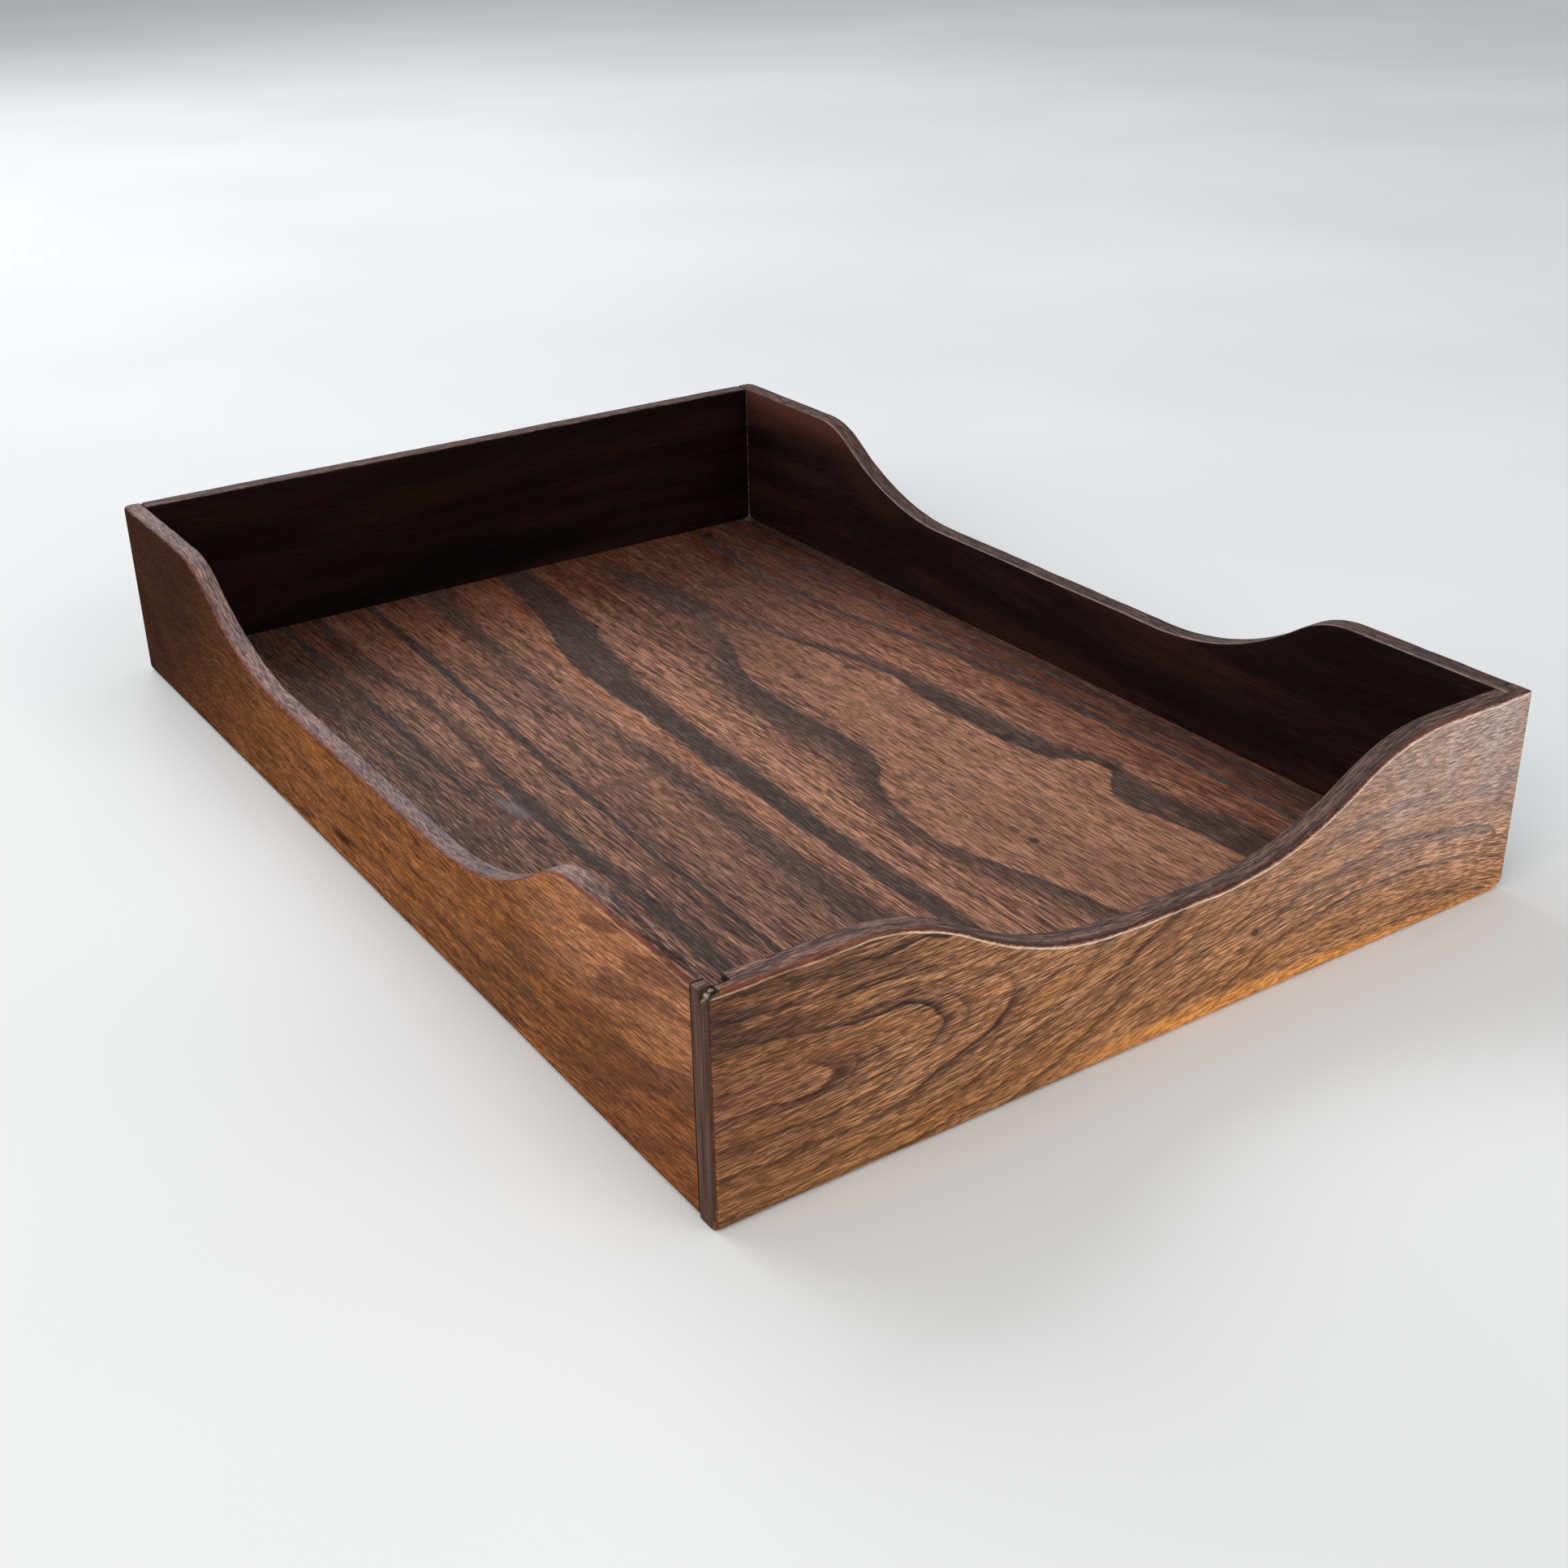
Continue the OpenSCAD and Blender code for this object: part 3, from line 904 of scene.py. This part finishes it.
def veneer_ground(g, across, warped, share, tone, streaky):
    """The veneer between its feathers: a pale tongue and an orange line, redder to the back and right,
    dull near the left front and darker along its margins: painted shade beside the right and back walls and
    in the back right corner, and a darker band along the left. across is the place from the left and share
    the place from the back; warped is across, frayed along the grain."""
    well_w = WELL_W / MM
    left_line = g.curve(share, TONGUE_LEFT) * well_w
    right_line = g.curve(share, TONGUE_RIGHT) * well_w
    tongue = g.step(warped - left_line, -1, 4) * g.step(right_line - warped, -1, 4)
    tongue = tongue * g.step(share, 0.21, 0.26)
    orange_line = g.curve(share, ORANGE_LINE) * well_w
    orange = g.near(warped - orange_line, 0, 3) * g.step(share, 0.8, 0.4)
    # The back right corner of the floor: painted shade, darker and redder.
    shaded_corner = g.step(across, 110, 200) * g.step(share, 0.48, 0.18)
    red = g.most(g.step(across, 190, 245), 0.9 * g.step(share, 0.32, 0.0), 0.8 * shaded_corner)
    dull = g.near(across, 86, 30) * g.step(share, 0.3, 0.65) * (0.35 + 0.65 * streaky)
    far = g.near(share, 0.19, 0.2)
    left_margin_dark = 0.6 * g.step(across, 110, 25) * (1 - 0.6 * g.step(share, 0.55, 0.85))
    # Painted shade along the right and back walls; the left margin is darker too.
    margins = g.most(g.step(across, 226, 253), g.step(share, 0.07, 0.0), left_margin_dark)
    painted_margin_shade = g.most(margins, 0.9 * shaded_corner)
    ground = g.paint(
        g.ramp(tone, VENEER_STOPS),
        (rgb(196, 138, 104), 0.33 * tongue),
        (rgb(176, 108, 70), 0.55 * orange),
        (rgb(98, 44, 24), 0.64 * red),
        (rgb(86, 66, 60), 0.3 * dull),
    )
    return g.scale(ground, 1.06 - 0.4 * painted_margin_shade - 0.14 * tongue - 0.14 * far - 0.24 * dull)


def floor_material():
    """The figured face veneer: its ground, then the charcoal feathers, the knots, the pores and a smear."""
    g = Graph("figured_veneer_wood")
    well_w = WELL_W / MM
    floor_l = (leaf_high.y - leaf_low.y) / MM
    share = (leaf_high.y / MM - g.y) / floor_l
    across = g.x + well_w / 2
    sway = 4 * (g.noise(g.x / 30, g.y / 80, 0.5, 2.0) - 0.5)
    fray = 3.4 * (g.noise(g.x / 2.6, g.y / 18, 1.5, 3.0, 0.6) - 0.5)
    split = 2.4 * (g.noise(g.x / 0.6, g.y / 14, 2.2, 1.0) - 0.5)
    warped = across + sway + fray + split
    lane = g.x + 1.6 * (g.noise(g.x / 25, g.y / 90, 4.5, 1.0) - 0.5)
    grain = fibres(g, g.y, lane, g.z, stretch=36)
    streaky = g.step(g.noise(lane / 3.2, g.y / 110, 2.5, 3.0, 0.6), 0.25, 0.75)
    broad = g.step(g.noise(g.x / 22, g.y / 130, 3.5, 2.0), 0.3, 0.7)
    tone = 0.54 + 0.8 * (grain - 0.5) + 0.36 * (streaky - 0.5) + 0.25 * (broad - 0.5)
    ground = veneer_ground(g, across, warped, share, tone, streaky)

    dark = g.most(*[feather.draw(g, warped, share) for feather in FEATHERS])
    dark = dark * (0.5 + 0.8 * g.step(0.5 * grain + 0.5 * streaky, 0.25, 0.65))
    charcoal = g.ramp(0.6 * grain + 0.4 * streaky, [(0.15, rgb(36, 30, 30)), (0.85, rgb(98, 82, 77))])
    colour = g.mix(ground, charcoal, g.least(dark, 0.93))
    for back, left, radius, darkness in KNOTS:
        off_x = (across - left * well_w + 0.5 * fray) / radius
        off_y = (share - back) * (floor_l / 1.5) / radius
        spot = g.step(off_x * off_x + off_y * off_y, 1.8, 0.1)
        colour = g.mix(colour, rgb(34, 21, 18), darkness * spot)

    crowd = 0.55 + 0.8 * dark + 0.5 * g.step(across, 80, 10)
    open_pores = pores(g, g.y, lane, g.z, length=5.0, share=crowd)
    smear = g.near(across + 0.1 * g.y, 46.5, 4) * g.near(g.y, 5, 15)
    colour = g.paint(colour, (PORE, 0.68 * open_pores), (rgb(130, 126, 132), 0.5 * smear))
    roughness = 0.46 + 0.12 * (broad - 0.5) + 0.15 * open_pores
    return g.finish(colour, roughness, 0.35 * grain - open_pores, 0.14, 0.15)


def plain_wood(name, light, dark, along="y"):
    """Plain straight-grained wood for the hidden layers of the floor."""
    g = Graph(name)
    a, c = (g.y, g.x) if along == "y" else (g.x, g.y)
    grain = fibres(g, a, c, g.z)
    drift = g.noise(a / 150, c / 20, g.z / 20, 2.0)
    open_pores = pores(g, a, c, g.z)
    colour = g.ramp(0.5 + 1.4 * (grain - 0.5) + 1.2 * (drift - 0.5), [(0.2, dark), (0.8, light)])
    colour = g.mix(colour, PORE, 0.35 * open_pores)
    return g.finish(colour, 0.6 + 0.2 * (drift - 0.5), grain - open_pores, 0.1)


def glue_material(name, brightness):
    """Dried hide glue, slightly glassy, with dust in its hollows."""
    g = Graph(name)
    lumps = g.noise(g.x / 1.5, g.y / 1.5, g.z / 1.5, 3.0)
    dust = g.noise(g.x / 0.4, g.y / 0.4, g.z / 0.4, 2.0)
    colour = g.ramp(0.5 + 1.6 * (lumps - 0.5) + 0.6 * (dust - 0.5), [
        (0.2, rgb(78, 56, 44)),
        (0.5, rgb(140, 112, 88)),
        (0.85, rgb(214, 196, 168)),
    ])
    return g.finish(g.scale(colour, brightness), 0.45 + 0.3 * dust, lumps + 0.5 * dust, 0.3)


def raw_material():
    """Bare sawn wood inside the joints, dark with old dirt."""
    g = Graph("sawn_wood")
    saw = g.noise(g.x / 0.8, g.y / 0.8, g.z / 3, 3.0)
    colour = g.ramp(saw, [(0.3, rgb(26, 18, 14)), (0.7, rgb(70, 48, 34))])
    return g.finish(colour, 0.8 + 0.1 * saw, saw, 0.2)


sawn = raw_material()
front_wood = outside_wood("walnut_front_wood", Look(
    "xzy", FRONT_TONES, front_flow, front_rings, 6.0, 0.8, front_edges, front_extras))
left_wood = outside_wood("walnut_left_wood", Look(
    "yzx", LEFT_TONES, level_flow, side_rings, 9.0, 0.3, left_edges, left_extras, gloss=0.0, contrast=0.8))
right_wood = outside_wood("walnut_right_wood", Look(
    "yzx", DULL_TONES, level_flow, side_rings, 8.0, 0.5, right_edges))
back_wood = outside_wood("walnut_back_wood", Look(
    "xzy", DULL_TONES, level_flow, side_rings, 7.0, 0.5, back_edges))
veneer = floor_material()
back_leaf = plain_wood("plain_veneer_wood", rgb(160, 122, 88), rgb(120, 86, 60))
core = plain_wood("plywood_core_wood", rgb(206, 176, 132), rgb(172, 138, 96), "x")
glue = glue_material("dried_glue_crust", 0.85)
# Glue darkened with painted shade of the back right inside corner.
shade_darkened_glue = glue_material("shade_darkened_glue_bead", 0.3)


# ---------- boards ----------


def groove_cutter(x0, x1, y0, y1):
    return box_cutter((x0, y0, FLOOR_BASE - GROOVE_PLAY), (x1, y1, FLOOR_TOP + GROOVE_PLAY))


def slot_cutter(x0, x1):
    """The upright slot in the front board's back that takes a side board's tongue."""
    y = front_low.y + SLOT_FLOOR
    return box_cutter((x0, y, -FRONT_T), (x1, y + FRONT_T, HEIGHT + FRONT_T))


def chip_cutter():
    """The chip in the left front corner: a slanted, splintery wedge across the lip."""
    rng = np.random.default_rng(11)
    past = 1 * MM
    reach = LIP_W + 0.3 * MM
    outline = [
        (-past / 2, HEIGHT + past),
        (-past / 2, HEIGHT - CHIP_H / 4),
        (0.6 * SLOT_FLOOR, HEIGHT - 0.72 * CHIP_H),
        (SLOT_FLOOR - CRACK_W, HEIGHT - CHIP_H),
        (SLOT_FLOOR + 0.2 * MM, HEIGHT - 0.93 * CHIP_H),
        (SLOT_FLOOR + 0.9 * MM, HEIGHT + past),
    ]
    sections = []
    for x in np.linspace(-past, reach, 9):
        shallower = 0.45 * max(0.0, x / reach) * CHIP_H
        ring = []
        for y, z in outline:
            if z < HEIGHT:
                ragged_y, ragged_z = rng.normal(0, 0.09 * MM, 2)
                y += ragged_y
                z += ragged_z + shallower
            ring.append((front_low.x + x, front_low.y + y, z))
        sections.append(ring)
    return loft("cutter", np.array(sections), sawn)


def crack_cutter():
    """The hairline crack that runs down from the chip, wider and deeper towards its top."""
    rng = np.random.default_rng(5)
    start = front_low.x - 1 * MM
    heights = np.linspace(HEIGHT - CHIP_H - CRACK_H, HEIGHT - 0.8 * CHIP_H, 15)
    sections = []
    for i, z in enumerate(heights):
        share = i / (len(heights) - 1)
        middle = front_low.y + SLOT_FLOOR - (0.9 - 0.6 * share) * MM + rng.normal(0, 0.05 * MM)
        half = CRACK_W / 2 * (0.25 + 0.75 * share)
        reach = front_low.x + LIP_W * (0.3 + 0.6 * share)
        sections.append([
            (start, middle - half, z),
            (reach, middle - half / 3, z),
            (reach, middle + half / 3, z),
            (start, middle + half, z),
        ])
    return loft("cutter", np.array(sections), sawn)


def build_front():
    made = board("front_board", WIDTH, FRONT_T,
                 lambda s: dipped_height(s, WIDTH, **FRONT_OUTLINE),
                 lambda s, t, z: (s, front_low.y + t, z),
                 FRONT_CORNER_R, FRONT_CORNER_R, seed=3, materials=(front_wood, sawn),
                 shift=FRONT_SHIFT, foot_corner_r=FOOT_CORNER_R)
    left_x = front_low.x + LIP_W
    right_x = front_high.x - LIP_W
    cutters = [
        groove_cutter(-WELL_W / 2, WELL_W / 2, front_high.y - SIDE_T / 2, front_high.y + FRONT_T),
        slot_cutter(left_x, left_x + TONGUE_T + LOOSE_GAP),
        slot_cutter(right_x - TONGUE_T - TIGHT_GAP, right_x),
        chip_cutter(),
        crack_cutter(),
    ]
    cut(made, cutters)
    settle(made, "front_panel")


def build_side(name, sign, material, seed, wear):
    """A side board, left for sign -1 and right for +1, with its tongue at the front end."""
    outer_x = sign * WIDTH / 2
    made = board(name, LENGTH, SIDE_T,
                 lambda s: dipped_height(s, LENGTH, **SIDE_OUTLINE),
                 lambda s, t, z: (outer_x - sign * t, s, z),
                 SQUARE_R, BACK_CORNER_R, seed, (material, sawn), wear=wear, foot_corner_r=FOOT_CORNER_R)
    past = 2 * FRONT_T
    outside_x = outer_x + sign * past
    inside_x = outer_x - sign * past
    tongue_x = outer_x - sign * (LIP_W + JOINT_GAP)
    shoulder_y = front_high.y + JOINT_GAP
    groove_end = back_low.y + GROOVE_PLAY + 1 * MM
    cutters = [
        box_cutter((outside_x, -LENGTH, -past), (tongue_x, shoulder_y, HEIGHT + past)),
        box_cutter((outside_x, -LENGTH, -past), (inside_x, side_low.y, HEIGHT + past)),
        groove_cutter(outer_x - sign * SIDE_T / 2, inside_x, -LENGTH, groove_end),
    ]
    cut(made, cutters)
    settle(made, name.replace("_board", "_side"))


def build_back():
    made = board("back_board", BACK_W, SIDE_T,
                 lambda s: np.full_like(s, HEIGHT),
                 lambda s, t, z: (s, back_high.y - t, z),
                 SOFT_R, SOFT_R, seed=9, materials=(back_wood, sawn), wear=0.8)
    cut(made, [groove_cutter(-WIDTH, WIDTH, -LENGTH, back_low.y + SIDE_T / 2)])
    settle(made, "back_panel")


# ---------- floor and glue ----------


def build_floor():
    """The face veneer, with the slight waves of a thin panel in its top face."""
    rng = np.random.default_rng(21)
    x = np.linspace(leaf_low.x, leaf_high.x, 90)
    y = np.linspace(leaf_low.y, leaf_high.y, 130)
    dip = np.zeros((len(y), len(x)))
    for _ in range(4):
        dip += np.outer(wander(y, 70 * MM, rng), wander(x, 45 * MM, rng)) * 0.04 * MM
    flat_margin = 6 * MM
    inside_x = np.clip((WELL_W / 2 - np.abs(x)) / flat_margin, 0, 1)
    inside_y = np.clip(np.minimum(y - front_high.y, back_low.y - y) / flat_margin, 0, 1)
    top = leaf_high.z - np.abs(dip) * inside_y[:, None] * inside_x
    sections = []
    for place, heights in zip(y, top):
        ring = [(px, place, pz) for px, pz in zip(x, heights)]
        ring += [(leaf_high.x, place, leaf_low.z), (leaf_low.x, place, leaf_low.z)]
        sections.append(ring)
    made = loft("floor_veneer", np.array(sections), veneer)
    settle(made, "floor_face_veneer")


def build_corner_bead():
    """Glue squeezed out up the back right inside corner, flaring into a blob on the floor; its glue is
    darkened with painted shade of the corner.
    """
    rng = np.random.default_rng(8)
    _, glue_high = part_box("back_right_glue")
    top = glue_high.z - FLOOR_TOP
    rise = np.concatenate([np.linspace(0, 1.5 * MM, 9), np.linspace(2 * MM, top, 60)])
    flow = 0.55 + 0.25 * wander(rise, 5 * MM, rng) + 0.2 * wander(rise, 1.5 * MM, rng)
    top_swell = np.exp(-((rise - top) / (7 * MM)) ** 2)
    radius = (BEAD_R + BEAD_SWELL * top_swell) * flow + BLOB_R * np.exp(-rise / BLOB_FADE)
    radius = radius * np.clip((top + BEAD_TIP / 2 - rise) / BEAD_TIP, 0.2, 1)
    sections = []
    for z, r in zip(rise, radius):
        ring = [(WELL_W / 2, back_low.y, FLOOR_TOP + z)]
        for angle in np.radians(np.linspace(180, 270, 9)):
            lobe = r * (1 + 0.18 * math.sin(5 * angle + 2) * math.exp(-z / MM))
            x = WELL_W / 2 + lobe * math.cos(angle)
            ring.append((x, back_low.y + lobe * math.sin(angle), FLOOR_TOP + z))
        sections.append(ring)
    made = loft("back_right_bead", np.array(sections), shade_darkened_glue)
    settle(made, "back_right_glue", sharp_degrees=50)


def build_chip_filler():
    """Crumbs of glue left in the chipped left front corner, over the film at the tongue's end. Each is
    (place right of the board's end, place behind its face, height, radius)."""
    rng = np.random.default_rng(14)
    crumbs = [
        (LIP_W * 0.22, SLOT_FLOOR - 0.7 * MM, HEIGHT - 0.80 * CHIP_H, 0.85 * MM),
        (LIP_W * 0.55, SLOT_FLOOR - 0.2 * MM, HEIGHT - 0.55 * CHIP_H, 1.0 * MM),
        (LIP_W * 0.90, SLOT_FLOOR + 0.2 * MM, HEIGHT - 0.36 * CHIP_H, 0.85 * MM),
        (LIP_W * 0.20, SLOT_FLOOR - 1.7 * MM, HEIGHT - 0.45 * CHIP_H, 0.6 * MM),
    ]
    latitude = np.linspace(0.15, math.pi - 0.15, 9)[:, None]
    longitude = np.linspace(0, 2 * math.pi, 15)[:-1]
    for number, (right, behind, height, size) in enumerate(crumbs, 1):
        reach = size * rng.uniform(0.8, 1.2, (len(latitude), len(longitude)))
        x = front_low.x + np.maximum(0, right + reach * np.sin(latitude) * np.cos(longitude))
        y = front_low.y + behind + 0.8 * reach * np.sin(latitude) * np.sin(longitude)
        z = height + 0.7 * reach * np.cos(latitude)
        made = loft(f"chip_glue_{number}", np.stack([x, y, z], axis=-1), glue)
        settle(made, sharp_degrees=60)


def dress_cad_nodes():
    """Procedural finishes for the CAD nodes that stay: the hidden layers and the glue films."""
    finishes = {
        "floor_core": core,
        "floor_back_veneer": back_leaf,
        "front_left_glue": glue,
        "front_right_glue": glue,
        "back_left_glue": glue,
    }
    for node, material in finishes.items():
        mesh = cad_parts[node].data
        mesh.materials.clear()
        mesh.materials.append(material)


build_front()
build_side("left_board", -1, left_wood, 4, 1.4)
build_side("right_board", 1, right_wood, 6, 0.8)
build_back()
build_floor()
build_corner_bead()
build_chip_filler()
dress_cad_nodes()


# ---------- stage, light and camera ----------

TABLE_SIZE = 8.0
LIGHT_AIM = Vector((0, 0, 0.02))


def build_stage():
    g = Graph("pale_table")
    mottle = g.noise(g.x / 300, g.y / 300, 0.0, 2.0)
    colour = g.ramp(mottle, [(0.3, rgb(222, 222, 221)), (0.7, rgb(230, 230, 229))])
    material = g.finish(colour, 0.75, mottle, 0.1, specular=0.2)
    half = TABLE_SIZE / 2
    points = [(-half, -half, 0), (half, -half, 0), (half, half, 0), (-half, half, 0)]
    mesh_object("table", points, [(0, 1, 2, 3)], [material])


def softbox(name, place, width, height, watts, colour):
    """A rectangular lamp that faces the tray."""
    light = bpy.data.lights.new(name, "AREA")
    light.shape = "RECTANGLE"
    light.size = width
    light.size_y = height
    light.energy = watts
    light.color = colour
    made = new_object(name, light)
    made.location = place
    made.rotation_euler = (LIGHT_AIM - Vector(place)).to_track_quat("-Z", "Y").to_euler()
    made.visible_camera = False


def build_lights():
    world = bpy.data.worlds.new("studio")
    bpy.context.scene.world = world
    world.use_nodes = True
    background = world.node_tree.nodes["Background"]
    background.inputs["Color"].default_value = (0.90, 0.95, 1.0, 1.0)
    background.inputs["Strength"].default_value = 0.55
    softbox("rear_softbox", (-0.3, 1.5, 1.3), 1.8, 1.0, 22, (0.93, 0.96, 1.0))
    softbox("left_softbox", (-1.5, -0.5, 1.0), 1.2, 1.0, 14, (1.0, 0.95, 0.88))
    softbox("front_softbox", (0.5, -1.6, 1.1), 1.4, 0.9, 9, (1.0, 0.97, 0.93))


def build_camera():
    """The camera, 64 cm from the tray's middle and turned a little clockwise."""
    place = Vector((-311.7, -497.0, 287.3)) * MM
    aim = Vector((3.1, -20.3, 0.0)) * MM
    roll = math.radians(1.07)
    lens = bpy.data.cameras.new("camera")
    lens.lens = 45.77
    lens.sensor_width = 36
    camera = new_object("camera", lens)
    turn = (aim - place).to_track_quat("-Z", "Y").to_matrix().to_4x4() @ Matrix.Rotation(-roll, 4, "Z")
    camera.matrix_world = Matrix.Translation(place) @ turn
    bpy.context.scene.camera = camera


build_stage()
build_lights()
build_camera()
bpy.context.scene.view_settings.view_transform = "Standard"
